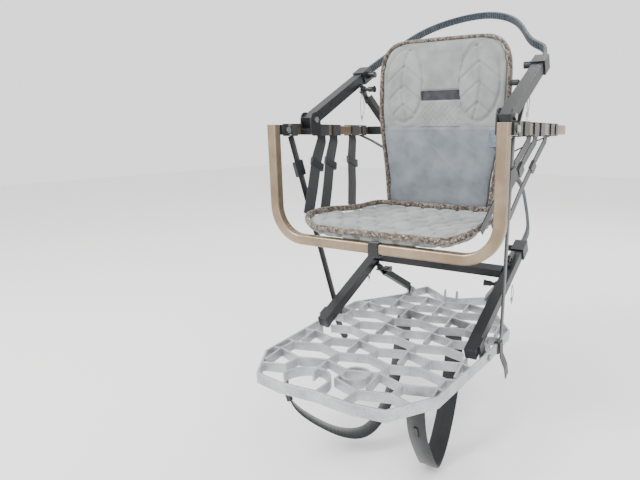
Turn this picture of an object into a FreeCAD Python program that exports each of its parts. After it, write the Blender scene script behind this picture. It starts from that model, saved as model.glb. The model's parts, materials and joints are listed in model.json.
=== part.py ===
import FreeCAD, Part
import math
import os

os.makedirs("parts", exist_ok=True)
Vector = FreeCAD.Vector

# Climbing tree stand: a seat section above a foot platform, each with two
# braced arms and a toothed belt that loops round the trunk.
# Millimetres, +Z up, +Y into the trunk. The origin is the throat of the seat
# section's trunk V, level with the centre lines of the side rails.

# ---- Driving sizes ----
section_drop = 520.0        # rail centre line down to the platform's top face
horn_reach = 75.0           # V throat to horn tips, platform

running_clearance = 0.05    # radial, shaft in hole
side_gap = 0.4              # between parts that turn past each other

bolt_radius = 4.0
bolt_head_radius = 7.5
bolt_head_height = 4.5

rail_size = 25.0
rail_wall = 2.0
rail_half_spacing = 296.0
rail_rear = 55.0

bar_hinge_y = -418.0
bar_standoff = 33.0         # hinge axis forward to the bar leg's centre line
bar_size = 25.0
bar_wall = 2.0
bar_corner = 82.5           # centre-line radius of the two lower corners
bar_drop = 270.5            # hinge axis down to the lower run's centre line
bar_edge_round = 5.0
clevis_wall = 3.5

cross_tube_y = -20.0
v_half_width = 75.0
v_reach = 45.0
v_height = 20.0
v_tooth_pitch = 12.0
v_tooth_height = 4.0

arm_size = 28.0
arm_wall = 2.5
lug_thickness = 6.0
lug_radius = 11.0
pin_drop = 22.0             # quick pin axis below the arm's centre line
pin_radius = 3.5
eye_thickness = 6.0
hook_clearance = 0.7        # round the quick pin in the lug
brace_size = 19.0
brace_wall = 1.8

upper_arm_x = 266.0
upper_pivot = Vector(0, -343.0, 26.0)
upper_slope = 27.6
upper_reach = 307.0
upper_pin_along = 238.6
upper_ear = Vector(0, -46.0, 2.0)
upper_ear_x = 204.0
upper_fold_ratio = 2.7      # brace turn per arm turn while folding

lower_arm_x = 214.0
lower_pivot_y = -340.0
lower_pivot_depth = 14.0    # below the platform's top face
lower_slope = 25.0
lower_offset = 35.0         # arm centre line above its pivot
lower_overhang = 32.0       # arm foot ahead of its pivot
lower_reach = 402.5
lower_pin_along = 247.4
lower_ear_height = 13.0     # brace hinge above the platform's top face
lower_ear_y = -20.0
lower_ear_x = 134.0
lower_fold_ratio = 2.05
crossbar_size = 25.0
crossbar_along = 268.7
crossbar_rise = 8.0         # above the arm's centre line

belt_width = 21.0
belt_body = 6.5
belt_tooth = 3.0
belt_pitch = 10.0
belt_insert = 70.0          # straight length of belt inside each arm
lock_wall = 4.0
lock_length = 40.0

platform_half_width = 247.0
rim_height = 25.0
rim_wall = 5.0
rib_height = 22.0
rib_wall = 4.6
rib_inset = 1.5             # rib tops below the rim's top
cell_width = 70.0
cell_length = 66.0
cell_wave = 11.0

seat_half_width = 233.0
seat_front_y = -457.0
seat_rear_y = -136.0
seat_thickness = 18.0
back_half_width = 194.0
back_thickness = 26.0
back_lean = 3.5
back_foot_y = -129.0

strap_thickness = 2.4
seat_strap_width = 36.0
tether_width = 22.0
tether_y = -389.0
carry_width = 45.0
strap_gap = 0.8             # webbing clear of the tube it wraps

lanyard_diameter = 1.6

# ---- Sizes that follow ----
platform_z = -section_drop
lower_pivot = Vector(0, lower_pivot_y, platform_z - lower_pivot_depth)
lower_ear = Vector(0, lower_ear_y, platform_z + lower_ear_height)
bar_leg_y = bar_hinge_y - bar_standoff
half_arm = arm_size / 2
eye_x = -(half_arm + lug_thickness + side_gap + eye_thickness / 2)   # from the arm's centre
neck_x = eye_x - eye_thickness / 2 - side_gap


# ---- Small shape helpers ----
def box(x0, x1, y0, y1, z0, z1):
    """A box between two corners."""
    return Part.makeBox(x1 - x0, y1 - y0, z1 - z0, Vector(x0, y0, z0))


def rod_x(x0, x1, y, z, radius):
    """A round rod along X."""
    return Part.makeCylinder(radius, x1 - x0, Vector(x0, y, z), Vector(1, 0, 0))


def prism_x(points, x0, x1):
    """A (y, z) polygon extruded along X."""
    wire = Part.makePolygon([Vector(x0, y, z) for y, z in points + points[:1]])
    return Part.Face(wire).extrude(Vector(x1 - x0, 0, 0))


def prism_z(points, z0, z1):
    """An (x, y) polygon extruded along Z."""
    wire = Part.makePolygon([Vector(x, y, z0) for x, y in points + points[:1]])
    return Part.Face(wire).extrude(Vector(0, 0, z1 - z0))


def mirrored(shape):
    """The same piece on the other side of the centre plane."""
    return shape.mirror(Vector(0, 0, 0), Vector(1, 0, 0))


def both(shape):
    """A pair, right then left."""
    return [shape, mirrored(shape)]


def fuse(shapes):
    """One solid from pieces that overlap."""
    first = shapes[0]
    return first.multiFuse(shapes[1:]).removeSplitter()


def bolt(x0, x1, y, z, radius=bolt_radius):
    """A bolt along X with a head outside one face and a nut outside the other."""
    head = bolt_head_radius
    return fuse([
        rod_x(x0 - bolt_head_height, x1 + bolt_head_height, y, z, radius),
        rod_x(x0 - bolt_head_height, x0, y, z, head),
        rod_x(x1, x1 + bolt_head_height, y, z, head),
    ])


def tilt(shape, pivot, slope):
    """Turn a shape built level about the origin and put it on its pivot."""
    turned = shape.copy()
    turned.rotate(Vector(0, 0, 0), Vector(1, 0, 0), slope)
    turned.translate(Vector(0, pivot.y, pivot.z))
    return turned


def arm_point(pivot, slope, along, up):
    """A (y, z) point given along an arm and square to it."""
    c = math.cos(math.radians(slope))
    s = math.sin(math.radians(slope))
    return Vector(0, pivot.y + along * c - up * s, pivot.z + along * s + up * c)


def square_bar(start, end, size):
    """A square bar between two points, one pair of faces as near X as it can be."""
    axis = (end - start).normalize()
    side = Vector(1, 0, 0) - axis * axis.x
    rotation = FreeCAD.Rotation(side, axis.cross(side), axis, "ZXY")
    bar = Part.makeBox(size, size, (end - start).Length, Vector(-size / 2, -size / 2, 0))
    bar.Placement = FreeCAD.Placement(start, rotation)
    return bar


def webbing(points, side, width, thickness=strap_thickness):
    """Flat webbing along a route, its width kept as near the side direction as it can be."""
    sections = []
    last = len(points) - 1
    for i, point in enumerate(points):
        ahead = points[min(i + 1, last)] - point
        behind = point - points[max(i - 1, 0)]
        if ahead.Length > 0:
            ahead.normalize()
        if behind.Length > 0:
            behind.normalize()
        run = (ahead + behind).normalize()
        across = (side - run * side.dot(run)).normalize()
        face = run.cross(across)
        corners = []
        for a, b in ((1, 1), (-1, 1), (-1, -1), (1, -1)):
            corners.append(point + across * (a * width / 2) + face * (b * thickness / 2))
        sections.append(corners)

    def triangle(*corners):
        """A flat three-sided face."""
        return Part.Face(Part.makePolygon(list(corners) + [corners[0]]))

    faces = []
    for first, second in zip(sections, sections[1:]):
        for i in range(4):
            j = (i + 1) % 4
            faces.append(triangle(first[i], first[j], second[i]))
            faces.append(triangle(first[j], second[j], second[i]))
    for end in (sections[0], sections[-1]):
        faces.append(triangle(end[0], end[1], end[2]))
        faces.append(triangle(end[0], end[2], end[3]))
    solid = Part.makeSolid(Part.makeShell(faces))
    if solid.Volume < 0:
        solid.reverse()
    return solid


def cord_tube(name, points, diameter):
    """A round cord along straight runs joined by tangent arcs; prints its arc radii."""
    edges = []
    radii = []
    here = points[0]
    for before, corner, after in zip(points, points[1:], points[2:]):
        back = (before - corner)
        ahead = (after - corner)
        shorter = min(back.Length, ahead.Length)
        turn = math.pi - back.getAngle(ahead)
        trim = 0.45 * shorter
        radii.append(trim / math.tan(turn / 2))
        enter = corner + back.normalize() * trim
        leave = corner + ahead.normalize() * trim
        half = (back + ahead).normalize()
        middle = corner + half * (radii[-1] / math.cos(turn / 2) - radii[-1])
        edges.append(Part.LineSegment(here, enter).toShape())
        edges.append(Part.Arc(enter, middle, leave).toShape())
        here = leave
    edges.append(Part.LineSegment(here, points[-1]).toShape())
    path = Part.Wire(edges)
    start = points[1] - points[0]
    ring = Part.Wire(Part.makeCircle(diameter / 2, points[0], start))
    tube = path.makePipeShell([ring], True, False)
    ideal = math.pi * diameter ** 2 / 4 * path.Length
    print(name, "length", round(path.Length, 1), "volume ratio", round(tube.Volume / ideal, 4),
          "radii", [round(r, 1) for r in radii])
    return tube


def save(name, shapes):
    """Write one node, which may be a group of separate solids."""
    shape = shapes if not isinstance(shapes, list) else Part.makeCompound(shapes)
    if not shape.isValid():
        raise ValueError(name + " is not a valid shape")
    shape.exportStep("parts/" + name + ".step")


# ---- Seat frame ----
def side_rail():
    """Square rail, open at the front where the bar hinges on it."""
    half = rail_size / 2
    inner = half - rail_wall
    x = rail_half_spacing
    front = bar_hinge_y - bolt_radius - 2.5
    rail = box(x - half, x + half, front, rail_rear, -half, half)
    rail = rail.cut(box(x - inner, x + inner, front - 1, rail_rear + 1, -inner, inner))
    return rail.cut(rod_x(x - rail_size, x + rail_size, bar_hinge_y, 0, bolt_radius))


def rail_cap():
    """Plastic plug in the rear end of a rail."""
    half = rail_size / 2
    inner = half - rail_wall
    x = rail_half_spacing
    lip = box(x - half, x + half, rail_rear, rail_rear + 3, -half, half)
    return lip.fuse(box(x - inner, x + inner, rail_rear - 15, rail_rear, -inner, inner))


def rear_cross_tube():
    """Tube between the rails that carries the trunk V and the brace ears."""
    half = rail_size / 2
    inner = half - rail_wall
    x = rail_half_spacing - half
    tube = box(-x, x, cross_tube_y - half, cross_tube_y + half, -half, half)
    hollow = box(-x, x, cross_tube_y - inner, cross_tube_y + inner, -inner, inner)
    return tube.cut(hollow)


def trunk_v_bracket():
    """Toothed V that bites the bark, welded to the cross tube's rear face."""
    back = cross_tube_y + rail_size / 2
    mouth = v_half_width - 15.0
    edge = [(v_half_width, back), (v_half_width, v_reach), (mouth, v_reach)]
    count = int(math.hypot(mouth, v_reach) / v_tooth_pitch)
    step = Vector(-mouth, -v_reach, 0) / count
    out = Vector(-v_reach, mouth, 0).normalize() * v_tooth_height
    for i in range(count - 1):
        root = Vector(mouth, v_reach, 0) + step * i
        tip = root + step / 2 + out
        edge.append((tip.x, tip.y))
        edge.append((root.x + step.x, root.y + step.y))
    edge.append((0.0, 0.0))
    left = [(-x, y) for x, y in reversed(edge[:-1])]
    return prism_z(edge + left, -v_height / 2, v_height / 2)


def arm_base():
    """Saddle over the rail with two cheeks that hold the arm's pivot bolt."""
    y, z = upper_pivot.y, upper_pivot.z
    half = rail_size / 2
    rail_inner = rail_half_spacing - half
    rail_outer = rail_half_spacing + half
    arm_outer = upper_arm_x + half_arm + side_gap
    arm_inner = upper_arm_x - half_arm - side_gap
    wall = 4.0
    reach = 20.0
    floor = z - math.hypot(arm_size / 2, arm_size / 2 + 2.0) - 2.0
    outer_cheek = fuse([box(arm_outer, rail_inner, y - reach, y + reach, -half, z),
                        rod_x(arm_outer, rail_inner, y, z, reach)])
    inner_cheek = fuse([box(arm_inner - wall, arm_inner, y - reach, y + reach, -half, z),
                        rod_x(arm_inner - wall, arm_inner, y, z, reach)])
    bridge = box(arm_inner - wall, rail_inner, y - reach, y + reach, -half, floor)
    top = box(arm_outer, rail_outer + wall, y - reach, y + reach, half, half + wall)
    drop = box(rail_outer, rail_outer + wall, y - reach, y + reach, -half, half + wall)
    saddle = fuse([outer_cheek, inner_cheek, bridge, top, drop])
    return saddle.cut(rod_x(0, rail_outer + 20, y, z, bolt_radius))


def arm_base_bolt():
    """Pivot bolt of one upper arm."""
    inner = upper_arm_x - half_arm - side_gap - 4.0
    outer = rail_half_spacing - rail_size / 2
    return bolt(inner, outer, upper_pivot.y, upper_pivot.z)


def brace_ears(x, ear, root):
    """Two cheeks round a brace's hinge end, run out from a (y, z) root."""
    half = eye_thickness / 2
    wall = 4.0
    low_y, high_y = sorted((ear.y, root[0]))
    low_z, high_z = sorted((ear.z, root[1]))
    if high_y - low_y > high_z - low_z:
        low_z, high_z = ear.z - 10, ear.z + 10
    else:
        low_y, high_y = ear.y - 10, ear.y + 10
    cheeks = []
    for inner in (half + side_gap, -half - side_gap - wall):
        plate = fuse([box(x + inner, x + inner + wall, low_y, high_y, low_z, high_z),
                      rod_x(x + inner, x + inner + wall, ear.y, ear.z, 10)])
        cheeks.append(plate.cut(rod_x(x - 30, x + 30, ear.y, ear.z, bolt_radius)))
    return cheeks


def brace_bolt(x, ear):
    """Hinge bolt of one brace."""
    reach = eye_thickness / 2 + side_gap + 4.0
    return bolt(x - reach, x + reach, ear.y, ear.z)


# ---- Front bar ----
def bar_section(size, rounding, start):
    """Rounded square outline, level, round a point."""
    half = size / 2
    square = Part.makePlane(size, size, Vector(start.x - half, start.y - half, start.z))
    corners = square.OuterWire.makeOffset2D(-rounding)
    return corners.makeOffset2D(rounding, 0)


def front_bar():
    """U of square tube with rounded edges, closed at its two top ends."""
    x = rail_half_spacing
    y = bar_leg_y
    top = bar_size / 2
    turn = bar_corner
    low = -bar_drop
    k = math.sqrt(0.5)
    a = Vector(x, y, top)
    b = Vector(x, y, low + turn)
    m = Vector(x - turn + turn * k, y, low + turn - turn * k)
    c = Vector(x - turn, y, low)
    edges = [Part.LineSegment(a, b).toShape(), Part.Arc(b, m, c).toShape(),
             Part.LineSegment(c, Vector(-c.x, y, c.z)).toShape(),
             Part.Arc(Vector(-c.x, y, c.z), Vector(-m.x, y, m.z), Vector(-b.x, y, b.z)).toShape(),
             Part.LineSegment(Vector(-b.x, y, b.z), Vector(-a.x, y, a.z)).toShape()]
    path = Part.Wire(edges)
    outer = path.makePipeShell([bar_section(bar_size, bar_edge_round, a)], True, False)
    inner_size = bar_size - 2 * bar_wall
    inner = path.makePipeShell([bar_section(inner_size, bar_edge_round - bar_wall, a)], True, False)
    tube = outer.cut(inner)
    half = inner_size / 2
    cap = box(x - half - 0.5, x + half + 0.5, y - half - 0.5, y + half + 0.5, top - 3, top)
    return fuse([tube] + both(cap.common(outer)))


def bar_clevis():
    """Bracket on the bar's leg that straddles the end of the rail."""
    x = rail_half_spacing
    half = rail_size / 2
    inner = half + side_gap
    outer = inner + clevis_wall
    leg_back = bar_leg_y + bar_size / 2
    back = box(x - outer, x + outer, leg_back, leg_back + 5, -half, half)
    cheeks = []
    for low, high in ((inner, outer), (-outer, -inner)):
        cheeks.append(box(x + low, x + high, leg_back, bar_hinge_y, -half, half))
        cheeks.append(rod_x(x + low, x + high, bar_hinge_y, 0, half))
    clevis = fuse([back] + cheeks)
    return clevis.cut(rod_x(x - 40, x + 40, bar_hinge_y, 0, bolt_radius + running_clearance))


def bar_hinge_pin():
    """Bolt through the clevis and the rail."""
    reach = rail_size / 2 + 2 * side_gap + clevis_wall
    return bolt(rail_half_spacing - reach, rail_half_spacing + reach, bar_hinge_y, 0)


def keeper_loop():
    """Webbing sleeve round the middle of the bar's lower run."""
    half = bar_size / 2 + strap_gap
    outer = half + strap_thickness
    y, z = bar_leg_y, -bar_drop
    ring = box(-12.5, 12.5, y - outer, y + outer, z - outer, z + outer)
    return ring.cut(box(-13, 13, y - half, y + half, z - half, z + half))


def keeper_buckle():
    """Ladder buckle under the keeper loop."""
    z = -bar_drop - bar_size / 2 - strap_gap - strap_thickness
    frame = box(-15, 15, bar_leg_y - 11, bar_leg_y + 11, z - 5, z)
    return frame.cut(box(-10, 10, bar_leg_y - 7, bar_leg_y - 1.5, z - 6, z + 1)).cut(
        box(-10, 10, bar_leg_y + 1.5, bar_leg_y + 7, z - 6, z + 1))


# ---- Arms, braces, pins ----
upper_pin = arm_point(upper_pivot, upper_slope, upper_pin_along, -pin_drop)
lower_pin = arm_point(lower_pivot, lower_slope, lower_pin_along, lower_offset - pin_drop)


def pin_slot(pin, pivot, slope, ear, ratio):
    """Way the quick pin leaves its lug as the arm folds, in the arm's own directions."""
    arm_run = pin - pivot
    brace_run = pin - ear
    lug_move = Vector(0, arm_run.z, -arm_run.y)
    pin_move = Vector(0, -brace_run.z, brace_run.y) * ratio
    way = (pin_move - lug_move).normalize()
    c = math.cos(math.radians(slope))
    s = math.sin(math.radians(slope))
    return Vector(0, way.y * c + way.z * s, way.z * c - way.y * s)


def arm(offset, overhang, reach, pin_along, slot):
    """Arm tube with its pin lug and lock hole, level, pivot at the origin, right side."""
    half = half_arm
    inner = half - arm_wall
    tube = box(-half, half, -overhang, reach, offset - half, offset + half)
    hollow = box(-inner, inner, -overhang + arm_wall, reach + 1, offset - inner, offset + inner)
    pin = Vector(0, pin_along, offset - pin_drop)
    weld = offset - half + 6
    lug = fuse([box(-half - lug_thickness, -half, pin.y - lug_radius, pin.y + lug_radius, pin.z, weld),
                rod_x(-half - lug_thickness, -half, pin.y, pin.z, lug_radius)])
    gap = pin_radius + hook_clearance
    cross = Vector(0, -slot.z, slot.y) * gap
    far = pin + slot * 30
    mouth = [(p.y, p.z) for p in (pin + cross, far + cross * 2.2, far - cross * 2.2, pin - cross)]
    lug = lug.cut(prism_x(mouth, -half - 10, -half)).cut(rod_x(-half - 10, -half, pin.y, pin.z, gap))
    body = tube.fuse(lug).removeSplitter().cut(hollow)
    return body.cut(rod_x(-20, 0, reach - 14, offset, bolt_radius + running_clearance))


def upper_arm():
    """Arm of the seat section, right side."""
    slot = pin_slot(upper_pin, upper_pivot, upper_slope, upper_ear, upper_fold_ratio)
    body = arm(0.0, 16.0, upper_reach, upper_pin_along, slot)
    body = body.cut(rod_x(-20, 20, 0, 0, bolt_radius + running_clearance))
    body = tilt(body, upper_pivot, upper_slope)
    body.translate(Vector(upper_arm_x, 0, 0))
    return body


def lower_arm():
    """Arm of the platform with a pivot ear on its outer face, right side."""
    slot = pin_slot(lower_pin, lower_pivot, lower_slope, lower_ear, lower_fold_ratio)
    body = arm(lower_offset, lower_overhang, lower_reach, lower_pin_along, slot)
    ear = fuse([box(half_arm, half_arm + 6, -14, 14, 0, lower_offset + half_arm),
                rod_x(half_arm, half_arm + 6, 0, 0, 14)])
    body = fuse([body, ear]).cut(rod_x(0, 30, 0, 0, bolt_radius + running_clearance))
    body = tilt(body, lower_pivot, lower_slope)
    body.translate(Vector(lower_arm_x, 0, 0))
    return body


def brace(arm_x, pin, ear_x, ear):
    """Brace with an eye for the quick pin at its top and a hinge eye at its foot, right side."""
    along = (ear - pin).normalize()
    square = Vector(0, -along.z, along.y)
    x = arm_x + eye_x
    half = eye_thickness / 2

    def strip(start, end, width, x_mid):
        """Flat plate between two points."""
        sides = (start + square * width / 2, end + square * width / 2,
                 end - square * width / 2, start - square * width / 2)
        return prism_x([(p.y, p.z) for p in sides], x_mid - half, x_mid + half)

    head = fuse([strip(pin, pin + along * 42, 16.0, x), rod_x(x - half, x + half, pin.y, pin.z, lug_radius)])
    foot = fuse([strip(ear - along * 34, ear, 16.0, ear_x), rod_x(ear_x - half, ear_x + half,
                                                                  ear.y, ear.z, 9)])
    start = pin + along * 26 + Vector(x - brace_size / 2 + half - 1.2, 0, 0)
    end = ear - along * 23 + Vector(ear_x, 0, 0)
    tube = square_bar(start, end, brace_size)
    inset = (end - start).normalize() * 4
    tube = tube.cut(square_bar(start + inset, end - inset, brace_size - 2 * brace_wall))
    body = fuse([tube, head, foot])
    body = body.cut(rod_x(ear_x - 10, ear_x + 10, ear.y, ear.z, bolt_radius + running_clearance))
    return body.cut(rod_x(x - 10, x + 10, pin.y, pin.z, pin_radius + running_clearance))


def quick_pin(arm_x, pin):
    """Ball-lock pin with a spool grip that points inwards, right side."""
    tip = arm_x - half_arm - side_gap
    neck = arm_x + neck_x
    profile = ((neck - 4, neck, 8.5), (neck - 16, neck - 4, 5.0), (neck - 32, neck - 16, 7.5))
    grip = [rod_x(a, b, pin.y, pin.z, r) for a, b, r in profile]
    flare = Part.makeCone(7.5, 9.5, 6, Vector(neck - 30, pin.y, pin.z), Vector(-1, 0, 0))
    return fuse([rod_x(neck - 2, tip, pin.y, pin.z, pin_radius), flare] + grip)


def lanyard_points(x, hook, length):
    """Route of the wire loop that hangs from an arm beside its pin, right side."""
    k = length / 82
    route = [(1.2, 0), (9, -20), (15, -42), (11, -62), (4.4, -75), (2.2, -82),
             (-2.2, -82), (-3.8, -74), (-5, -58), (-5.6, -36), (-4, -16), (-1.2, 0)]
    return [Vector(x, hook.y + y, hook.z + z * k) for y, z in route]


def crimp(x, hook, length):
    """Crimp sleeve and wire tail at the foot of a lanyard, right side."""
    low = hook.z - length
    sleeve = Part.makeCylinder(3.6, 10, Vector(x, hook.y, low - 4))
    return sleeve.fuse(Part.makeCylinder(1.2, 9, Vector(x, hook.y, low - 12)))


# ---- Belts and their locks ----
def belt(route, half_spacing, pivot, slope, reach, offset):
    """Toothed belt in the plane of its two arms, both ends inside the arm tubes."""
    start = Vector(-half_spacing, -belt_insert, 0)
    end = Vector(half_spacing, -belt_insert, 0)
    through = [Vector(-half_spacing, 0, 0)] + [Vector(x, s, 0) for x,
                                               s in route] + [Vector(half_spacing, 0, 0)]
    curve = Part.BSplineCurve()
    curve.interpolate(Points=through, InitialTangent=Vector(0, 300, 0), FinalTangent=Vector(0, -300, 0))
    line = Part.Wire([Part.LineSegment(start, through[0]).toShape(), curve.toShape(),
                      Part.LineSegment(through[-1], end).toShape()])
    count = int(line.Length / (belt_pitch / 4))
    stations = line.discretize(Number=count)
    inner = []
    outer = []
    for i, point in enumerate(stations):
        run = stations[min(i + 1, count - 1)] - stations[max(i - 1, 0)]
        inward = Vector(run.y, -run.x, 0).normalize()
        tooth = belt_tooth if i % 4 > 1 else 0.0
        inner.append(point + inward * (belt_body / 2 - belt_tooth / 2 + tooth))
        if i % 8 == 0 or i == count - 1:
            outer.append(point - inward * (belt_body / 2 + belt_tooth / 2))
    back = Part.BSplineCurve()
    back.interpolate(outer)
    edges = [back.toShape(), Part.LineSegment(outer[-1], inner[-1]).toShape()]
    edges += [Part.LineSegment(a, b).toShape() for a, b in zip(inner[::-1], inner[-2::-1])]
    edges.append(Part.LineSegment(inner[0], outer[0]).toShape())
    face = Part.Face(Part.Wire(edges))
    solid = face.extrude(Vector(0, 0, belt_width))
    solid.translate(Vector(0, reach, offset - belt_width / 2))
    return tilt(solid, pivot, slope)


def lock_housing(arm_x, pivot, slope, reach, offset):
    """Sleeve on the end of an arm with a spring boss on its inner side, right side."""
    half = half_arm
    out = half + lock_wall
    inner = half - arm_wall
    sleeve = box(-out, out, reach - lock_length, reach + 6, offset - out, offset + out)
    boss = rod_x(-out - 8, -half, reach - 14, offset, 10)
    body = fuse([sleeve, boss])
    body = body.cut(box(-half, half, reach - lock_length - 1, reach, offset - half, offset + half))
    body = body.cut(box(-inner, inner, reach - 1, reach + 7, offset - inner, offset + inner))
    body = body.cut(rod_x(-40, -half + 1, reach - 14, offset, bolt_radius + running_clearance))
    body = tilt(body, pivot, slope)
    body.translate(Vector(arm_x, 0, 0))
    return body


def lock_plunger(arm_x, pivot, slope, reach, offset):
    """Plunger that drops between two belt teeth, with its pull knob, right side."""
    nose = -(belt_body / 2 + belt_tooth / 2) - side_gap
    boss = -(half_arm + lock_wall + 8)
    stem = rod_x(boss - 4, nose, reach - 14, offset, bolt_radius)
    knob = rod_x(boss - 16, boss - side_gap, reach - 14, offset, 9)
    body = tilt(fuse([stem, knob]), pivot, slope)
    body.translate(Vector(arm_x, 0, 0))
    return body


# ---- Platform ----
def platform_outline(inset):
    """Closed (x, y) outline of the cast platform, moved in by an inset."""
    w = platform_half_width
    right = [(0, -692), (90, -698), (164, -687), (230, -590), (w, -325), (w, -180), (150, -37),
             (150, 5), (120, horn_reach), (22, 0), (0, 0)]
    points = right + [(-x, y) for x, y in right[-2:0:-1]]
    wire = Part.makePolygon([Vector(x, y, 0) for x, y in points + points[:1]])
    return wire.makeOffset2D(-inset, 2) if inset else wire


def rib(x0, y0, x1, y1):
    """One upright rib of the platform's grid."""
    run = Vector(x1 - x0, y1 - y0, 0)
    side = Vector(-run.y, run.x, 0).normalize() * rib_wall / 2
    over = Vector(run).normalize() * rib_wall / 2
    a = Vector(x0, y0, 0) - over
    b = Vector(x1, y1, 0) + over
    corners = [(p.x, p.y) for p in (a + side, b + side, b - side, a - side)]
    top = platform_z - rib_inset
    return prism_z(corners, top - rib_height, top)


def round_rib(x, y, radius, first, last):
    """Part of a round upright rib, between two angles in degrees."""
    top = platform_z - rib_inset
    base = Vector(x, y, top - rib_height)
    up = Vector(0, 0, 1)
    outer = Part.makeCylinder(radius + rib_wall / 2, rib_height, base, up, last - first)
    inner = Part.makeCylinder(radius - rib_wall / 2, rib_height, base, up, 360)
    outer.rotate(base, up, first)
    return outer.cut(inner)


def platform_ribs():
    """Wavy ribs across, staggered ribs along, a hooked rib and a round cell near the front left."""
    ribs = []
    columns = 8
    rows = 11
    front = -698.0
    hook_x, hook_y, hook_radius = -58.0, -655.0, 56.0
    ring_x, ring_y, ring_radius = 26.0, -582.0, 31.0

    def node(i, j):
        """Corner of the grid: column i, row j."""
        x = (i - columns / 2) * cell_width
        wave = cell_wave * (1 if (i + j) % 2 else -1)
        return x, front + j * cell_length + wave

    for j in range(1, rows):
        for i in range(columns):
            if not (j == 1 and i in (2, 3)):
                ribs.append(rib(*node(i, j), *node(i + 1, j)))
        for i in range(1, columns):
            x0, y0 = node(i, j)
            x1, y1 = node(i, j - 1)
            if j == 1 and i in (3, 4):
                continue
            if (i + j) % 2 == 0:
                ribs.append(rib(x0, y0, x1, y1))
            elif j % 2 == 0 or j > 7:
                ribs.append(rib(x0, y0, x0 + cell_wave, y0 - cell_length))
    ribs.append(round_rib(hook_x, hook_y, hook_radius, 0, 180))
    ribs.append(rib(hook_x + hook_radius, hook_y, hook_x + hook_radius, hook_y - 45))
    ribs.append(round_rib(ring_x, ring_y, ring_radius, 0, 360))
    return ribs


def foot_platform():
    """One-piece cast platform: rim, ribs, arm bosses, brace ears and trunk teeth."""
    outer = Part.Face(platform_outline(0)).extrude(Vector(0, 0, rim_height))
    inner = Part.Face(platform_outline(rim_wall)).extrude(Vector(0, 0, rim_height))
    outer.translate(Vector(0, 0, platform_z - rim_height))
    inner.translate(Vector(0, 0, platform_z - rim_height))
    rim = outer.cut(inner)
    ribs = platform_ribs()
    grid = ribs[0].multiFuse(ribs[1:]).common(outer)
    well_x = platform_half_width - rim_wall
    foot = arm_point(lower_pivot, lower_slope, -lower_overhang, lower_offset - half_arm)
    well = box(lower_arm_x - half_arm - 6, well_x, foot.y - 14, lower_pivot.y + 44,
               platform_z - rim_height - 1, platform_z + 1)
    grid = grid.cut(well).cut(mirrored(well))
    ear_outer = lower_arm_x + half_arm + 6 + side_gap
    boss = rod_x(ear_outer, well_x + 1, lower_pivot.y, lower_pivot.z, 10)
    pieces = both(boss)
    for cheek in brace_ears(lower_ear_x, lower_ear, (lower_ear_y, platform_z - rim_height + 3)):
        pieces += both(cheek)
    pad = box(lower_ear_x - 10, 150 - rim_wall / 2, lower_ear.y - 12, lower_ear.y + 12,
              platform_z - rim_height + 2, platform_z - 1)
    tooth = fuse([prism_x([(-9, platform_z - 20), (4, platform_z - 20), (4, platform_z + 14), (0,
                                                                                               platform_z + 24),
                           (-4, platform_z + 14)], 17, 23)])
    pieces += both(pad) + both(tooth)
    body = fuse([rim, grid] + pieces)
    for x, y, z in ((lower_arm_x, lower_pivot.y, lower_pivot.z), (lower_ear_x, lower_ear.y, lower_ear.z)):
        hole = rod_x(x - 30, x + 40, y, z, bolt_radius)
        body = body.cut(hole).cut(mirrored(hole))
    return body


def lower_arm_bolt():
    """Pivot bolt of one platform arm."""
    inner = lower_arm_x + half_arm - side_gap
    return bolt(inner, platform_half_width, lower_pivot.y, lower_pivot.z)


def lower_crossbar():
    """Tube that ties the platform's two arms."""
    half = crossbar_size / 2
    inner = half - rail_wall
    x = lower_arm_x - half_arm
    mid = lower_offset + crossbar_rise
    bar = box(-x, x, crossbar_along - half, crossbar_along + half, mid - half, mid + half)
    bar = bar.cut(box(-x, x, crossbar_along - inner, crossbar_along + inner, mid - inner, mid + inner))
    return tilt(bar, lower_pivot, lower_slope)


def lower_saddle():
    """Open hook on top of an arm, right side."""
    top = lower_offset + half_arm
    a = crossbar_along + 14
    plate = prism_x([(a, top), (a + 58, top), (a + 46, top + 22), (a + 14, top + 30), (a, top + 26)], -4, 4)
    notch = rod_x(-5, 5, a + 13, top + 14, 8)
    throat = box(-5, 5, a - 1, a + 13, top + 7, top + 18)
    hook = tilt(plate.cut(notch).cut(throat), lower_pivot, lower_slope)
    hook.translate(Vector(lower_arm_x, 0, 0))
    return hook


# ---- Soft goods, as plain closed solids ----
def seat_pad():
    """Sling seat, dished between its side edges, lower at the front."""
    def section(y, low, side, half):
        """Band with curved upper and lower edges."""
        t = seat_thickness
        a = Vector(-half, y, side)
        b = Vector(0, y, low)
        c = Vector(half, y, side)
        up = Vector(0, 0, t)
        return Part.Wire([Part.Arc(a, b, c).toShape(), Part.LineSegment(c, c + up).toShape(),
                          Part.Arc(c + up, b + up, a + up).toShape(), Part.LineSegment(a + up, a).toShape()])

    bar_top = -bar_drop + bar_size / 2
    front = section(seat_front_y, bar_top + 4.2, bar_top + 10.0, 178.0)
    knee = section(seat_front_y + 45, bar_top + 4.2, bar_top + 28.0, seat_half_width)
    rear = section(seat_rear_y, -222.0, -219.0, 186.0)
    return Part.makeLoft([front, knee, rear], True, True)


def backrest_pad():
    """Tall padded back, widest at the shoulders, with round top corners."""
    w = back_half_width
    foot = -219.0
    top = 243.0
    outline = [(-160, foot), (-166, -130), (-188, 0), (-w, 60), (-w, 165), (-180, 215), (-140, top),
               (140, top), (180, 215), (w, 165), (w, 60), (188, 0), (166, -130), (160, foot)]
    wire = Part.makePolygon([Vector(x, 0, z - foot) for x, z in outline + outline[:1]])
    pad = Part.Face(wire).extrude(Vector(0, back_thickness, 0))
    pad.rotate(Vector(0, 0, 0), Vector(1, 0, 0), -back_lean)
    pad.translate(Vector(0, back_foot_y, foot))
    return pad


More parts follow.
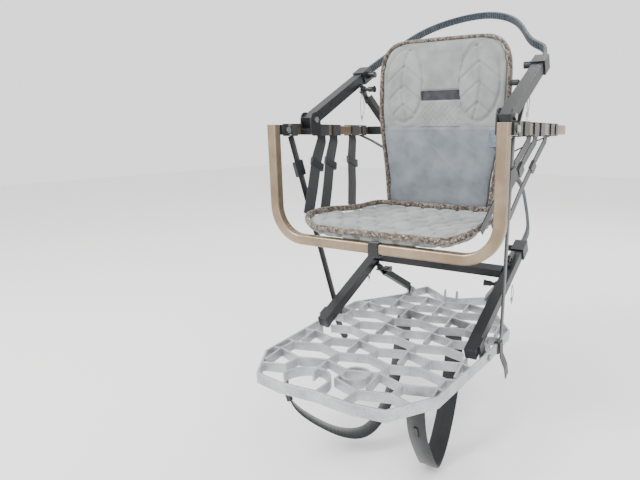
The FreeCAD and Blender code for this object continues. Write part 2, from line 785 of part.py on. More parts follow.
def rail_loop(y, width):
    """Webbing wrapped once round a rail, right side."""
    inner = rail_size / 2 + strap_gap
    outer = inner + strap_thickness
    x = rail_half_spacing
    ring = box(x - outer, x + outer, y - width / 2, y + width / 2, -outer, outer)
    return ring.cut(box(x - inner, x + inner, y - width, y + width, -inner, inner))


def backrest_strap():
    """Webbing from rail to rail that holds the back pad up."""
    y = cross_tube_y - 40.0
    low = -62.0
    under = -rail_size / 2 - strap_gap - strap_thickness / 2
    middle = webbing([Vector(-200, y, low), Vector(200, y, low)], Vector(0, 0, 1), 30)
    tie = webbing([Vector(194, y, low + 2), Vector(255, y, under - 16), Vector(rail_half_spacing, y, under)],
                  Vector(0, 1, 0), 20)
    return fuse([middle] + both(tie) + both(rail_loop(y, 22)))


def seat_strap(rail_y, seat_y):
    """Strap looped over a rail and run down to the edge of the seat, right side."""
    x = rail_half_spacing
    under = Vector(x - 2, rail_y, -rail_size / 2 - strap_gap - strap_thickness / 2)
    knot = Vector(x - 20, rail_y + 0.35 * (seat_y - rail_y), -82)
    seat = Vector(seat_half_width + 4.5, seat_y, -218)
    middle = (knot + seat) * 0.5 - Vector(1.5, 0, 0)
    hang = under - Vector(1, 0, 14)
    down = webbing([under, hang, knot, middle, seat], Vector(0, 1, 0), seat_strap_width)
    return fuse([rail_loop(rail_y, seat_strap_width), down])


def buckle(center, run, width, length, thickness):
    """Ladder buckle centred on a strap, its length along the strap's run."""
    run = Vector(run).normalize()
    rotation = FreeCAD.Rotation(Vector(0, 1, 0), Vector(0, 0, 0), run, "ZXY")
    frame = Part.makeBox(width + 10, thickness, length, Vector(-width / 2 - 5, -thickness / 2, -length / 2))
    frame = frame.cut(Part.makeBox(width + 2, strap_thickness + 0.6, length + 2,
                                   Vector(-width / 2 - 1, -strap_thickness / 2 - 0.3, -length / 2 - 1)))
    frame.Placement = FreeCAD.Placement(center, rotation)
    return frame


tether_top = Vector(rail_half_spacing, tether_y, -rail_size / 2 - strap_gap - strap_thickness)
tether_end = Vector(platform_half_width + 4.4, lower_pivot_y + 70, platform_z + 8)


def tether_strap():
    """Straight strap that the platform hangs on, right side."""
    return webbing([tether_top, tether_end], Vector(0, 1, 0), tether_width)


def tether_wrap():
    """End of the tether wrapped round the platform's side wall, with its tail, right side."""
    x = platform_half_width
    y = tether_end.y
    out = x + strap_gap + strap_thickness / 2
    within = x - rim_wall - strap_gap - strap_thickness / 2
    top = platform_z + 2.2
    low = platform_z - rim_height - 2.2
    ring = box(within - 1.2, out + 1.2, y - 11, y + 11, low - 1.2, top + 1.2)
    ring = ring.cut(box(within + 1.2, out - 1.2, y - 12, y + 12, low + 1.2, top - 1.2))
    tail = webbing([Vector(out + 3.2, y, top), Vector(out + 3.4, y + 8, low - 10), Vector(out + 9,
                                                                                          y + 30, low - 48),
                    Vector(out + 6, y + 52, low - 84)], Vector(0, 1, 0), tether_width)
    lace = box(out - 1, out + 4, y - 11, y + 11, top - 6, top - 3)
    return fuse([ring, tail, lace])


carry_left = [Vector(-152, -606, -546), Vector(-150, -612, -585), Vector(-136, -612, -625),
              Vector(-100, -586, -668),
              Vector(-45, -541, -714), Vector(10, -508, -712), Vector(33, -458, -655), Vector(20, -385, -590),
              Vector(-26, -272, -553), Vector(-90, -143, -548)]
carry_right = [Vector(180, -598, -546), Vector(178, -590, -590), Vector(176, -574, -641),
               Vector(182, -544, -710),
               Vector(172, -505, -750), Vector(172, -462, -722), Vector(174, -425, -650),
               Vector(166, -380, -592),
               Vector(134, -284, -555), Vector(80, -171, -548)]


def carry_strap(route, side):
    """Shoulder strap that hangs in a loop under the platform."""
    return webbing(route, side, carry_width)


def back_tag():
    """Plain sewn tag that lies on the front face of the back pad, at its side."""
    lean = math.tan(math.radians(back_lean))
    low = -44.0
    high = -2.0
    low_y = back_foot_y + lean * (low + 219.0) - side_gap
    high_y = back_foot_y + lean * (high + 219.0) - side_gap
    return prism_x([(low_y, low), (low_y - 1.6, low), (high_y - 1.6, high), (high_y, high)], 148, 186)


# ---- Build and write every node ----

save("side_rail_right", side_rail())
save("side_rail_left", mirrored(side_rail()))
save("rail_end_caps", both(rail_cap()))
save("rear_cross_tube", rear_cross_tube())
save("trunk_v_bracket", trunk_v_bracket())
save("arm_bases", both(arm_base()))
ears = []
for cheek in brace_ears(upper_ear_x, upper_ear, (cross_tube_y - rail_size / 2, 0)):
    ears += both(cheek)
save("upper_brace_ears", ears)
save("upper_hinge_bolts", both(arm_base_bolt()) + both(brace_bolt(upper_ear_x, upper_ear)))
save("bar_hinge_pins", both(bar_hinge_pin()))

save("front_bar", front_bar())
save("bar_clevises", both(bar_clevis()))
save("bar_keeper_loop", keeper_loop())
save("bar_keeper_buckle", keeper_buckle())

upper_route = [(-250, 190), (-187, 405), (-64, 474), (89, 373), (211, 145)]
lower_route = [(-216, 150), (-176, 370), (-62, 455), (62, 415), (152, 262), (208, 95)]
sections = (
    ("upper", upper_arm(), upper_arm_x, upper_pivot, upper_slope, upper_reach, 0.0, upper_route, upper_pin,
     upper_ear_x, upper_ear, upper_arm_x - half_arm - 3.0, 70.0),
    ("lower", lower_arm(), lower_arm_x, lower_pivot, lower_slope, lower_reach, lower_offset,
     lower_route, lower_pin,
     lower_ear_x, lower_ear, lower_arm_x + half_arm + 3.0, 42.0),
)
for name, solid, x, pivot, slope, reach, offset, route, pin, ear_x, ear, wire_x, hang in sections:
    save(name + "_arm_right", solid)
    save(name + "_arm_left", mirrored(solid))
    save(name + "_belt", belt(route, x, pivot, slope, reach, offset))
    save(name + "_lock_housings", both(lock_housing(x, pivot, slope, reach, offset)))
    right_brace = brace(x, pin, ear_x, ear)
    save(name + "_brace_right", right_brace)
    save(name + "_brace_left", mirrored(right_brace))
    plunger = lock_plunger(x, pivot, slope, reach, offset)
    save(name + "_lock_plunger_right", plunger)
    save(name + "_lock_plunger_left", mirrored(plunger))
    grip = quick_pin(x, pin)
    hook = pin + Vector(0, 0, -lug_radius if wire_x < x else 4.0)
    wire = cord_tube(name + " lanyard", lanyard_points(wire_x, hook, hang), lanyard_diameter)
    sleeve = crimp(wire_x, hook, hang)
    for side, copy in (("right", Part.Shape.copy), ("left", mirrored)):
        save(name + "_pin_" + side, copy(grip))
        save(name + "_lanyard_" + side, copy(wire))
        save(name + "_crimp_" + side, copy(sleeve))

save("foot_platform", foot_platform())
save("lower_hinge_bolts", both(lower_arm_bolt()) + both(brace_bolt(lower_ear_x, lower_ear)))
save("lower_crossbar", lower_crossbar())
save("lower_saddles", both(lower_saddle()))

save("seat_pad", seat_pad())
save("backrest_pad", backrest_pad())
save("backrest_strap", backrest_strap())
save("backrest_tag", back_tag())
straps = []
buckles = []
for rail_y, seat_y in ((-262.0, -400.0), (-205.0, -330.0), (-108.0, -199.0)):
    straps += both(seat_strap(rail_y, seat_y))
    place = Vector(rail_half_spacing - 22, rail_y + 0.35 * (seat_y - rail_y), -92)
    lean = Vector(rail_half_spacing - 20 - seat_half_width, 0.65 * (rail_y - seat_y), 140)
    buckles += both(buckle(place, lean, seat_strap_width, 22.0, 8.0))
save("seat_straps", straps)
save("seat_strap_buckles", buckles)
save("tether_loops", both(rail_loop(tether_y, tether_width)))
save("tether_strap_right", tether_strap())
save("tether_strap_left", mirrored(tether_strap()))
lean = tether_top - tether_end
adjuster = buckle(tether_top - lean * 0.17, lean, tether_width, 40.0, 10.0)
save("tether_adjusters", both(adjuster))
save("tether_wraps", both(tether_wrap()))
save("carry_strap_left", carry_strap(carry_left, Vector(0.8, -0.6, 0)))
save("carry_strap_right", carry_strap(carry_right, Vector(1, 0, 0)))
carry_buckles = []
for route in (carry_left, carry_right):
    frame = buckle((route[1] + route[2]) * 0.5, route[1] - route[2], 1.0, 26.0, 9.0)
    carry_buckles.append(frame)
save("carry_strap_adjusters", carry_buckles)
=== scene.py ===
"""Climbing tree stand: finishes, padded goods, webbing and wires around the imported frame."""
import json
import math

import bmesh
import bpy
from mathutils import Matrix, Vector, noise


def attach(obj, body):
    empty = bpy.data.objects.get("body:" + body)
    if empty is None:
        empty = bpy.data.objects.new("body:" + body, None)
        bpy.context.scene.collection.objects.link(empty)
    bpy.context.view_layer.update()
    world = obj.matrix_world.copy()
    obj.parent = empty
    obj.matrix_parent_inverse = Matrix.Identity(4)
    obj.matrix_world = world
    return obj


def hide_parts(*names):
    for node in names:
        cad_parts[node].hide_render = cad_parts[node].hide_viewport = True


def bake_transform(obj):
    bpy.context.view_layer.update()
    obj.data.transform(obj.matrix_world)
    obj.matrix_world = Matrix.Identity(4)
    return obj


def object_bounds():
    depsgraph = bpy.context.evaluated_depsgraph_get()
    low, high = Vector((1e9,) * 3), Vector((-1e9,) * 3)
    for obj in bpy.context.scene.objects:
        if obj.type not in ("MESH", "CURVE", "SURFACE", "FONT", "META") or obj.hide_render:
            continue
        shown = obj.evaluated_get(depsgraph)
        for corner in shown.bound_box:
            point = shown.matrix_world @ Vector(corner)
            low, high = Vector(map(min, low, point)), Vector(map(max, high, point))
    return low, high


bl_info = {
    "name": "Climbing Tree Stand",
    "version": (1, 0, 0),
    "blender": (4, 5, 0),
    "location": "3D View > Sidebar > Tree Stand",
    "description": "Finishes and soft goods for a climbing tree stand",
    "category": "Object",
}

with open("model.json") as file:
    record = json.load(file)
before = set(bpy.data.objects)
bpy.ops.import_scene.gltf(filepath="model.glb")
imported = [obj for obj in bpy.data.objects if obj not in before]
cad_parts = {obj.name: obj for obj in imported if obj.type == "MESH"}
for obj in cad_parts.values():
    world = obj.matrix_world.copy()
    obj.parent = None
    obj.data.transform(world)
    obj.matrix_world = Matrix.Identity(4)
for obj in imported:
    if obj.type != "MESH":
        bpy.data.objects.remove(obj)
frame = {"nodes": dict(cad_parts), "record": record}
CAD_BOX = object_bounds()
NODES = frame["nodes"]

SEAT_FRONT, SEAT_REAR = -0.457, -0.136
SEAT_OUTLINE = ((-0.457, 0.168), (-0.450, 0.190), (-0.430, 0.222), (-0.405, 0.231), (-0.330, 0.226),
                (-0.230, 0.208), (-0.160, 0.190), (-0.145, 0.182), (-0.136, 0.165))
BACK_FOOT, BACK_TOP, BACK_LEAN = -0.219, 0.243, 0.0612
BACK_OUTLINE = ((-0.219, 0.150), (-0.205, 0.158), (-0.130, 0.164), (0.000, 0.186), (0.060, 0.192),
                (0.165, 0.192), (0.200, 0.184), (0.222, 0.170), (0.236, 0.150), (0.243, 0.120))
NYLON_TOP = 0.010                       # height where the nylon panel meets the moulded one
SLOT_LOW, SLOT_HIGH, SLOT_HALF = 0.081, 0.107, 0.059

# Routes of the webbing and wires, right side where there is a pair
CARRY_LEFT = ((-0.152, -0.606, -0.546), (-0.150, -0.612, -0.585), (-0.136, -0.612, -0.625),
              (-0.100, -0.586, -0.668), (-0.045, -0.541, -0.714), (0.010, -0.508, -0.712),
              (0.033, -0.458, -0.655), (0.020, -0.385, -0.590), (-0.026, -0.272, -0.553),
              (-0.090, -0.143, -0.548))
CARRY_RIGHT = ((0.180, -0.598, -0.546), (0.178, -0.590, -0.590), (0.176, -0.574, -0.641),
               (0.182, -0.544, -0.710), (0.172, -0.505, -0.750), (0.172, -0.462, -0.722),
               (0.174, -0.425, -0.650), (0.166, -0.380, -0.592), (0.134, -0.284, -0.555),
               (0.080, -0.171, -0.548))
TETHER_TOP, TETHER_END = (0.296, -0.389, -0.0157), (0.2514, -0.270, -0.512)
UPPER_WIRE = ((0.249, -0.12016, 0.10605), (0.249, -0.11236, 0.08897), (0.249, -0.10636, 0.07019),
              (0.249, -0.11036, 0.05312), (0.249, -0.11696, 0.04202), (0.249, -0.11916, 0.03605),
              (0.249, -0.12356, 0.03605), (0.249, -0.12516, 0.04288), (0.249, -0.12636, 0.05653),
              (0.249, -0.12696, 0.07531), (0.249, -0.12536, 0.09239), (0.249, -0.12256, 0.10605))
LOWER_WIRE = ((0.231, -0.12007, -0.41366), (0.231, -0.11227, -0.42391), (0.231, -0.10627, -0.43517),
              (0.231, -0.11027, -0.44542), (0.231, -0.11687, -0.45208), (0.231, -0.11907, -0.45566),
              (0.231, -0.12347, -0.45566), (0.231, -0.12507, -0.45156), (0.231, -0.12627, -0.44337),
              (0.231, -0.12687, -0.4321), (0.231, -0.12527, -0.42186), (0.231, -0.12247, -0.41366))
UPPER_WIRE_LENGTH, LOWER_WIRE_LENGTH, WIRE_THICK = 0.1486, 0.0959, 0.0016

# Padding, metres
VOXEL = 0.005
STUFFING_PRESSURE = 3.0
MOST_SWELL = 0.004

# Studio
FLOOR_SIZE = 8.0
FLOOR_DROP = 0.004
BACKDROP_LIGHT = 1.7
LAMPS = (("key", (-1.6, -2.4, 2.2), 1.2, 120), ("fill", (2.4, -1.6, 1.0), 2.0, 40),
         ("rim", (0.4, 2.2, 2.0), 1.5, 50))
LAMP_AIM = (0, -0.25, -0.2)
CAMERA_AT = (0.61274, -1.43961, -0.00678)
CAMERA_AIM = (-0.4748, 0.8557, -0.2056)
LENS_MM, SENSOR_MM, LENS_SHIFT = 28.77, 36.0, -0.125


# ---- Materials ----
def linear(text):
    """Linear colour of an sRGB hex value."""
    parts = [int(text[i:i + 2], 16) / 255 for i in (1, 3, 5)]
    return [p / 12.92 if p <= 0.04045 else ((p + 0.055) / 1.055) ** 2.4 for p in parts] + [1.0]


def add(tree, kind, inputs=(), **settings):
    """Add a node with its settings, fixed inputs and links."""
    made = tree.nodes.new("ShaderNode" + kind)
    for key, value in settings.items():
        setattr(made, key, value)
    for socket, value in dict(inputs).items():
        if isinstance(value, bpy.types.NodeSocket):
            tree.links.new(value, made.inputs[socket])
        else:
            made.inputs[socket].default_value = value
    return made


def start_finish(name, roughness, metallic=0.0, sheen=0.0, specular=0.5):
    """New material, its tree, shader and object coordinates."""
    finish = bpy.data.materials.new(name)
    finish.use_nodes = True
    tree = finish.node_tree
    shader = tree.nodes["Principled BSDF"]
    fixed = {"Roughness": roughness, "Metallic": metallic, "Sheen Weight": sheen,
             "Specular IOR Level": specular}
    for socket, value in fixed.items():
        shader.inputs[socket].default_value = value
    return finish, tree, shader, add(tree, "TexCoord").outputs["Object"]


def cloud(tree, spot, grain_mm, detail=3.0, low=0.35, high=0.65):
    """Soft patches of a real size, from 0 to 1."""
    patches = add(tree, "TexNoise", {"Vector": spot, "Scale": 1000 / grain_mm, "Detail": detail})
    spread = {"Value": patches.outputs["Fac"], "From Min": low, "From Max": high}
    return add(tree, "MapRange", spread).outputs[0]


def blend_colour(tree, amount, first, second):
    """Colour between two, by an amount; each is a hex value, a colour or a socket."""
    sides = [linear(c) if isinstance(c, str) else c for c in (first, second)]
    return add(tree, "Mix", {0: amount, 6: sides[0], 7: sides[1]}, data_type="RGBA").outputs[2]


def relief(tree, shader, height, depth_mm, strength=1.0, normal=None):
    """Surface relief of a real depth."""
    inputs = {"Height": height, "Distance": depth_mm / 1000, "Strength": strength}
    if normal is not None:
        inputs["Normal"] = normal
    tree.links.new(add(tree, "Bump", inputs).outputs["Normal"], shader.inputs["Normal"])


def edge_wear_and_highlight(tree, radius_mm):
    """Rounded normal, and a mask of the sharp edges: some finishes show a coat rubbed thin there, the bronze
    tube a painted highlight.
    """
    rounded = add(tree, "Bevel", {"Radius": radius_mm / 1000}, samples=4).outputs[0]
    flat = add(tree, "NewGeometry").outputs["Normal"]
    facing = add(tree, "VectorMath", {0: rounded, 1: flat}, operation="DOT_PRODUCT").outputs["Value"]
    mask = add(tree, "MapRange", {"Value": facing, "From Min": 0.995, "From Max": 0.86}).outputs[0]
    return rounded, mask


def bronze_anodised_aluminium(colour):
    """Satin champagne tube: an even metal sheen with faint drawing lines, and a cream painted highlight on
    the sharp edges.
    """
    finish, tree, shader, spot = start_finish("bronze_anodised_aluminium", 0.36, 0.9)
    rounded, edges = edge_wear_and_highlight(tree, 2.0)
    tone = blend_colour(tree, cloud(tree, spot, 60.0), colour, "#9C8B76")
    # painted highlight: the sharp edges are lightened to cream
    tone = blend_colour(tree, edges, tone, "#BFAF9A")
    tree.links.new(tone, shader.inputs["Base Color"])
    stretched = add(tree, "Mapping", {"Vector": spot, "Scale": (1.0, 0.06, 1.0)}).outputs[0]
    lines = cloud(tree, stretched, 1.6)
    rough = add(tree, "MapRange", {"Value": lines, "To Min": 0.30, "To Max": 0.44}).outputs[0]
    tree.links.new(rough, shader.inputs["Roughness"])
    relief(tree, shader, lines, 0.05, 0.3, rounded)
    return finish


def tumbled_cast_aluminium(colour):
    """Grey casting: bright but dull, pebbled from the sand mould, with darker patches."""
    finish, tree, shader, spot = start_finish("tumbled_cast_aluminium", 0.5, 0.75)
    rounded, edges = edge_wear_and_highlight(tree, 1.5)
    tone = blend_colour(tree, cloud(tree, spot, 45.0, 5.0), colour, "#C3C5C7")
    speck = cloud(tree, spot, 2.5, 2.0, 0.55, 0.7)
    tone = blend_colour(tree, speck, tone, "#8F9194")
    tone = blend_colour(tree, edges, tone, "#DDDEDF")
    tree.links.new(tone, shader.inputs["Base Color"])
    relief(tree, shader, cloud(tree, spot, 1.8), 0.25, 0.6, rounded)
    return finish


def black_powder_coat():
    """Baked powder over aluminium: near black with a cool cast, orange-peel relief, grey where edges rub."""
    finish, tree, shader, spot = start_finish("black_powder_coat", 0.42, 0.0, specular=0.5)
    rounded, edges = edge_wear_and_highlight(tree, 1.2)
    tone = blend_colour(tree, cloud(tree, spot, 70.0), "#0F1113", "#191C1F")
    rubbed = add(tree, "Math", {0: edges, 1: cloud(tree, spot, 9.0)}, operation="MULTIPLY").outputs[0]
    tone = blend_colour(tree, rubbed, tone, "#3C4147")
    tree.links.new(tone, shader.inputs["Base Color"])
    relief(tree, shader, cloud(tree, spot, 1.5), 0.06, 0.5, rounded)
    return finish


def moulded_belt_rubber():
    """Slate rubber over cord: soft low sheen, faint ribs along it and dusty high spots."""
    finish, tree, shader, spot = start_finish("moulded_belt_rubber", 0.55)
    rounded, edges = edge_wear_and_highlight(tree, 1.0)
    tone = blend_colour(tree, cloud(tree, spot, 25.0), "#2C343B", "#3D474F")
    tone = blend_colour(tree, edges, tone, "#566068")
    tree.links.new(tone, shader.inputs["Base Color"])
    relief(tree, shader, cloud(tree, spot, 1.2), 0.1, 0.5, rounded)
    return finish


def zinc_plated_steel():
    """Bolts: pale metal with a soft cloudy plating."""
    finish, tree, shader, spot = start_finish("zinc_plated_steel", 0.32, 1.0)
    rounded, edges = edge_wear_and_highlight(tree, 0.6)
    tone = blend_colour(tree, cloud(tree, spot, 3.0), "#9A9A97", "#BDBDB8")
    tree.links.new(blend_colour(tree, edges, tone, "#E2E2DE"), shader.inputs["Base Color"])
    tree.links.new(rounded, shader.inputs["Normal"])
    return finish


def coated_wire_rope():
    """Black vinyl over twisted wire: the strands show as slanting ridges."""
    finish, tree, shader, spot = start_finish("coated_wire_rope", 0.35)
    shader.inputs["Base Color"].default_value = linear("#1A1B1D")
    tilted = add(tree, "Mapping", {"Vector": spot, "Rotation": (0.6, 0.0, 0.0)}).outputs[0]
    strand = add(tree, "TexWave", {"Vector": tilted, "Scale": 250.0}, bands_direction="Z").outputs["Fac"]
    relief(tree, shader, strand, 0.2, 0.7)
    return finish


def woven_webbing():
    """Polypropylene webbing: black, with cross ribs drawn 4 mm apart so that the weave shows."""
    finish, tree, shader, spot = start_finish("woven_webbing", 0.75, sheen=0.3, specular=0.3)
    tone = blend_colour(tree, cloud(tree, spot, 14.0), "#0E0F10", "#18191B")
    ribs = add(tree, "TexWave", {"Vector": spot, "Scale": 1000 / 4.0 / math.pi, "Distortion": 0.6},
               bands_direction="DIAGONAL").outputs["Fac"]
    tree.links.new(blend_colour(tree, ribs, tone, "#212326"), shader.inputs["Base Color"])
    relief(tree, shader, ribs, 0.5, 0.8)
    return finish


def moulded_black_plastic():
    """Acetal buckles, caps and grips: black, finely textured, brighter on edges."""
    finish, tree, shader, spot = start_finish("moulded_black_plastic", 0.4)
    rounded, edges = edge_wear_and_highlight(tree, 0.8)
    tone = blend_colour(tree, cloud(tree, spot, 12.0), "#151618", "#1F2124")
    tree.links.new(blend_colour(tree, edges, tone, "#3A3D42"), shader.inputs["Base Color"])
    relief(tree, shader, cloud(tree, spot, 0.9), 0.05, 0.5, rounded)
    return finish


def cloth_finish(name, dark, light, thread_mm, patch_mm, depth_mm, sheen=0.35, roughness=0.85):
    """Woven or knitted cover: crossed threads of a real spacing over soft tone patches."""
    finish, tree, shader, spot = start_finish(name, roughness, sheen=sheen, specular=0.25)
    tone = blend_colour(tree, cloud(tree, spot, patch_mm, 4.0), dark, light)
    bands = {"Vector": spot, "Scale": 1000 / thread_mm / math.pi, "Distortion": 0.8}
    warp, weft, through = (add(tree, "TexWave", bands, bands_direction=way).outputs["Fac"] for way in "XZY")
    crossed = add(tree, "Math", {0: warp, 1: weft}, operation="MULTIPLY")
    crossed = add(tree, "Math", {0: crossed.outputs[0], 1: through}, operation="ADD")
    shade = add(tree, "MapRange", {"Value": crossed.outputs[0], "From Max": 2.0, "To Max": 0.35}).outputs[0]
    tree.links.new(blend_colour(tree, shade, tone, light), shader.inputs["Base Color"])
    relief(tree, shader, crossed.outputs[0], depth_mm, 0.6)
    return finish


def mottled_tape():
    """Edge binding in a mottled brown, grey and buff print, 5 to 9 mm patches."""
    finish, tree, shader, spot = start_finish("mottled_tape", 0.85, sheen=0.3, specular=0.25)
    tone = blend_colour(tree, cloud(tree, spot, 9.0, 4.0, 0.40, 0.56), "#3E362F", "#6E645B")
    tone = blend_colour(tree, cloud(tree, spot, 6.0, 3.0, 0.55, 0.64), tone, "#9A9085")
    tone = blend_colour(tree, cloud(tree, spot, 5.0, 2.0, 0.58, 0.66), tone, "#2B2724")
    tree.links.new(tone, shader.inputs["Base Color"])
    relief(tree, shader, cloud(tree, spot, 1.5), 0.2, 0.6)
    return finish


def make_finishes():
    """Every finish, by the record's slot name, and the extra ones for sewn goods."""
    chosen = bpy.context.scene.stand_colours
    tube, platform = tuple(chosen.tube), tuple(chosen.platform)
    seat, foam, nylon = tuple(chosen.seat), tuple(chosen.foam), tuple(chosen.nylon)
    FINISHES.update({
        "bronze_tube": bronze_anodised_aluminium(tube),
        "cast_aluminium": tumbled_cast_aluminium(platform),
        "black_powder_coat": black_powder_coat(),
        "belt_rubber": moulded_belt_rubber(),
        "zinc_steel": zinc_plated_steel(),
        "wire_lanyard": coated_wire_rope(),
        "black_webbing": woven_webbing(),
        "black_plastic": moulded_black_plastic(),
        # light grey ripstop cover, 3 mm squares, over quilted foam
        "seat_fabric": cloth_finish("quilted_grey_ripstop", seat, "#99A09E", 3.0, 40.0, 0.2),
        # grey brushed knit pressed over foam; nearly even, with a soft nap
        "moulded_foam": cloth_finish("moulded_foam_knit", foam, "#8E9391", 2.6, 55.0, 0.15, 0.45),
        # coated nylon: cooler and smoother, so folds catch the light
        "slate_nylon": cloth_finish("coated_slate_nylon", nylon, "#7C8288", 2.4, 60.0, 0.08, 0.2, 0.55),
        # dark mesh at the foot of the slot
        "slot_mesh": cloth_finish("dark_slot_mesh", "#2A2C2F", "#3C3F43", 2.4, 20.0, 0.3),
        # plain grey-blue sewn label with no lettering
        "tag_fabric": cloth_finish("sewn_tag", "#59636F", "#77818C", 2.2, 8.0, 0.15),
        "binding": mottled_tape(),
    })


FINISHES = {}


# ---- Shape helpers ----
def place_piece(name, bm, finishes, body=None):
    """Object from a bmesh, at the origin, with its finishes."""
    mesh = bpy.data.meshes.new(name)
    bm.to_mesh(mesh)
    bm.free()
    for finish in finishes:
        mesh.materials.append(FINISHES[finish])
    mesh.shade_smooth()
    piece = bpy.data.objects.new(name, mesh)
    bpy.context.scene.collection.objects.link(piece)
    if body:
        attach(piece, body)
    return piece


def half_width(outline, at):
    """Half width of an outline at a place along it."""
    for (a, wide_a), (b, wide_b) in zip(outline, outline[1:]):
        if at <= b:
            return wide_a + (wide_b - wide_a) * (at - a) / (b - a)
    return outline[-1][1]


def smooth_line(points, closed=False):
    """Points along the smooth line that a route guides."""
    line = bpy.data.curves.new("line", "CURVE")
    line.dimensions = "3D"
    spline = line.splines.new("NURBS")
    spline.points.add(len(points) - 1)
    for knot, at in zip(spline.points, points):
        knot.co = (*at, 1.0)
    spline.order_u = 3
    spline.use_endpoint_u = not closed
    spline.use_cyclic_u = closed
    spline.resolution_u = 5
    holder = bpy.data.objects.new("line", line)
    bpy.context.scene.collection.objects.link(holder)
    bpy.context.view_layer.update()
    mesh = bpy.data.meshes.new_from_object(holder)
    found = [v.co.copy() for v in mesh.vertices]
    bpy.data.objects.remove(holder)
    bpy.data.curves.remove(line)
    bpy.data.meshes.remove(mesh)
    return found


def sweep(line, side, profile, closed=False):
    """Run a closed profile along a line; side is the profile's first direction."""
    bm = bmesh.new()
    count = len(line)
    stations = list(range(count)) + ([0] if closed else [])
    verts = edges = []
    for step, i in enumerate(stations):
        ahead = line[(i + 1) % count] if closed or i + 1 < count else line[i]
        behind = line[i - 1] if closed or i else line[i]
        run = (ahead - behind).normalized()
        wide = (side - run * side.dot(run)).normalized()
        high = run.cross(wide)
        places = [line[i] + wide * a + high * b for a, b in profile]
        if step == 0:
            verts = [bm.verts.new(p) for p in places]
            edges = [bm.edges.new((v, verts[(k + 1) % len(verts)])) for k, v in enumerate(verts)]
            if not closed:
                bm.faces.new(verts)
            continue
        old = {tuple(v.co): k for k, v in enumerate(verts)}
        grown = bmesh.ops.extrude_edge_only(bm, edges=edges)["geom"]
        fresh = [v for v in grown if isinstance(v, bmesh.types.BMVert)]
        verts = [None] * len(places)
        for v in fresh:
            verts[old[tuple(v.co)]] = v
        edges = [e for e in grown if isinstance(e, bmesh.types.BMEdge)]
        edges = [e for e in edges if e.verts[0] in verts and e.verts[1] in verts]
        for v, p in zip(verts, places):
            v.co = p
    if closed:
        bmesh.ops.remove_doubles(bm, verts=bm.verts[:], dist=0.00002)
    else:
        bmesh.ops.contextual_create(bm, geom=edges)
    bmesh.ops.recalc_face_normals(bm, faces=bm.faces[:])
    return bm


def oval(wide, high, count=12):
    """Points round an oval."""
    return [(wide * math.cos(2 * math.pi * k / count), high * math.sin(2 * math.pi * k / count))
            for k in range(count)]


def tape(wide, thick):
    """Flat section of webbing with eased edges."""
    ease = thick * 0.35
    half, rise = wide / 2, thick / 2
    return [(-half + ease, -rise), (half - ease, -rise), (half, 0), (half - ease, rise), (-half + ease, rise),
            (-half, 0)]


def settle(piece):
    """Keep the mesh that the live modifiers give."""
    graph = bpy.context.evaluated_depsgraph_get()
    mesh = bpy.data.meshes.new_from_object(piece.evaluated_get(graph))
    piece.modifiers.clear()
    piece.data = mesh


def stuff(piece):
    """Remesh a closed cover, swell it like stuffed fabric and smooth it once."""
    voxels = piece.modifiers.new("Voxels", "REMESH")
    voxels.mode = "VOXEL"
    voxels.voxel_size = VOXEL
    settle(piece)
    start = [v.co.copy() for v in piece.data.vertices]
    cloth = piece.modifiers.new("Stuffing", "CLOTH")
    cloth.settings.use_pressure = True
    cloth.settings.uniform_pressure_force = STUFFING_PRESSURE
    cloth.settings.effector_weights.gravity = 0
    for moment in range(1, 21):
        bpy.context.scene.frame_set(moment)
    settle(piece)
    for v, was in zip(piece.data.vertices, start):
        move = v.co - was
        if move.length > MOST_SWELL:
            v.co = was + move.normalized() * MOST_SWELL
    bpy.context.scene.frame_set(1)
    once = piece.modifiers.new("Smooth", "SUBSURF")
    once.levels = 1
    once.render_levels = 1
    settle(piece)


def groove(distance, width):
    """1 in the middle of a sewn channel, falling to 0 at its edge."""
    return max(0.0, 1.0 - (distance / width) ** 2)


# ---- Seat ----
def seat_height(x, y):
    """Middle of the seat's thickness: slung between its edges, low at the front."""
    along = (y - SEAT_FRONT) / (SEAT_REAR - SEAT_FRONT)
    middle = -0.2445 + 0.0315 * along
    edge = -0.2385 + 0.045 * math.sin(math.pi * min(along * 1.6 + 0.1, 1.0)) * 0.55 + 0.030 * along
    return middle + (max(edge, middle) - middle) * min(abs(x) / 0.233, 1.0) ** 2


def seat_quilt(x, y):
    """Depth of the channels between staggered tufts."""
    pitch_x, pitch_y = 0.052, 0.040
    row = round(y / pitch_y)
    spots = []
    for r in (row - 1, row, row + 1):
        shift = 0.5 * (r % 2)
        column = round(x / pitch_x - shift)
        for c in (column - 1, column, column + 1):
            spots.append(math.hypot(x - (c + shift) * pitch_x, y - r * pitch_y))
    spots.sort()
    return groove(spots[1] - spots[0], 0.013), spots[0]


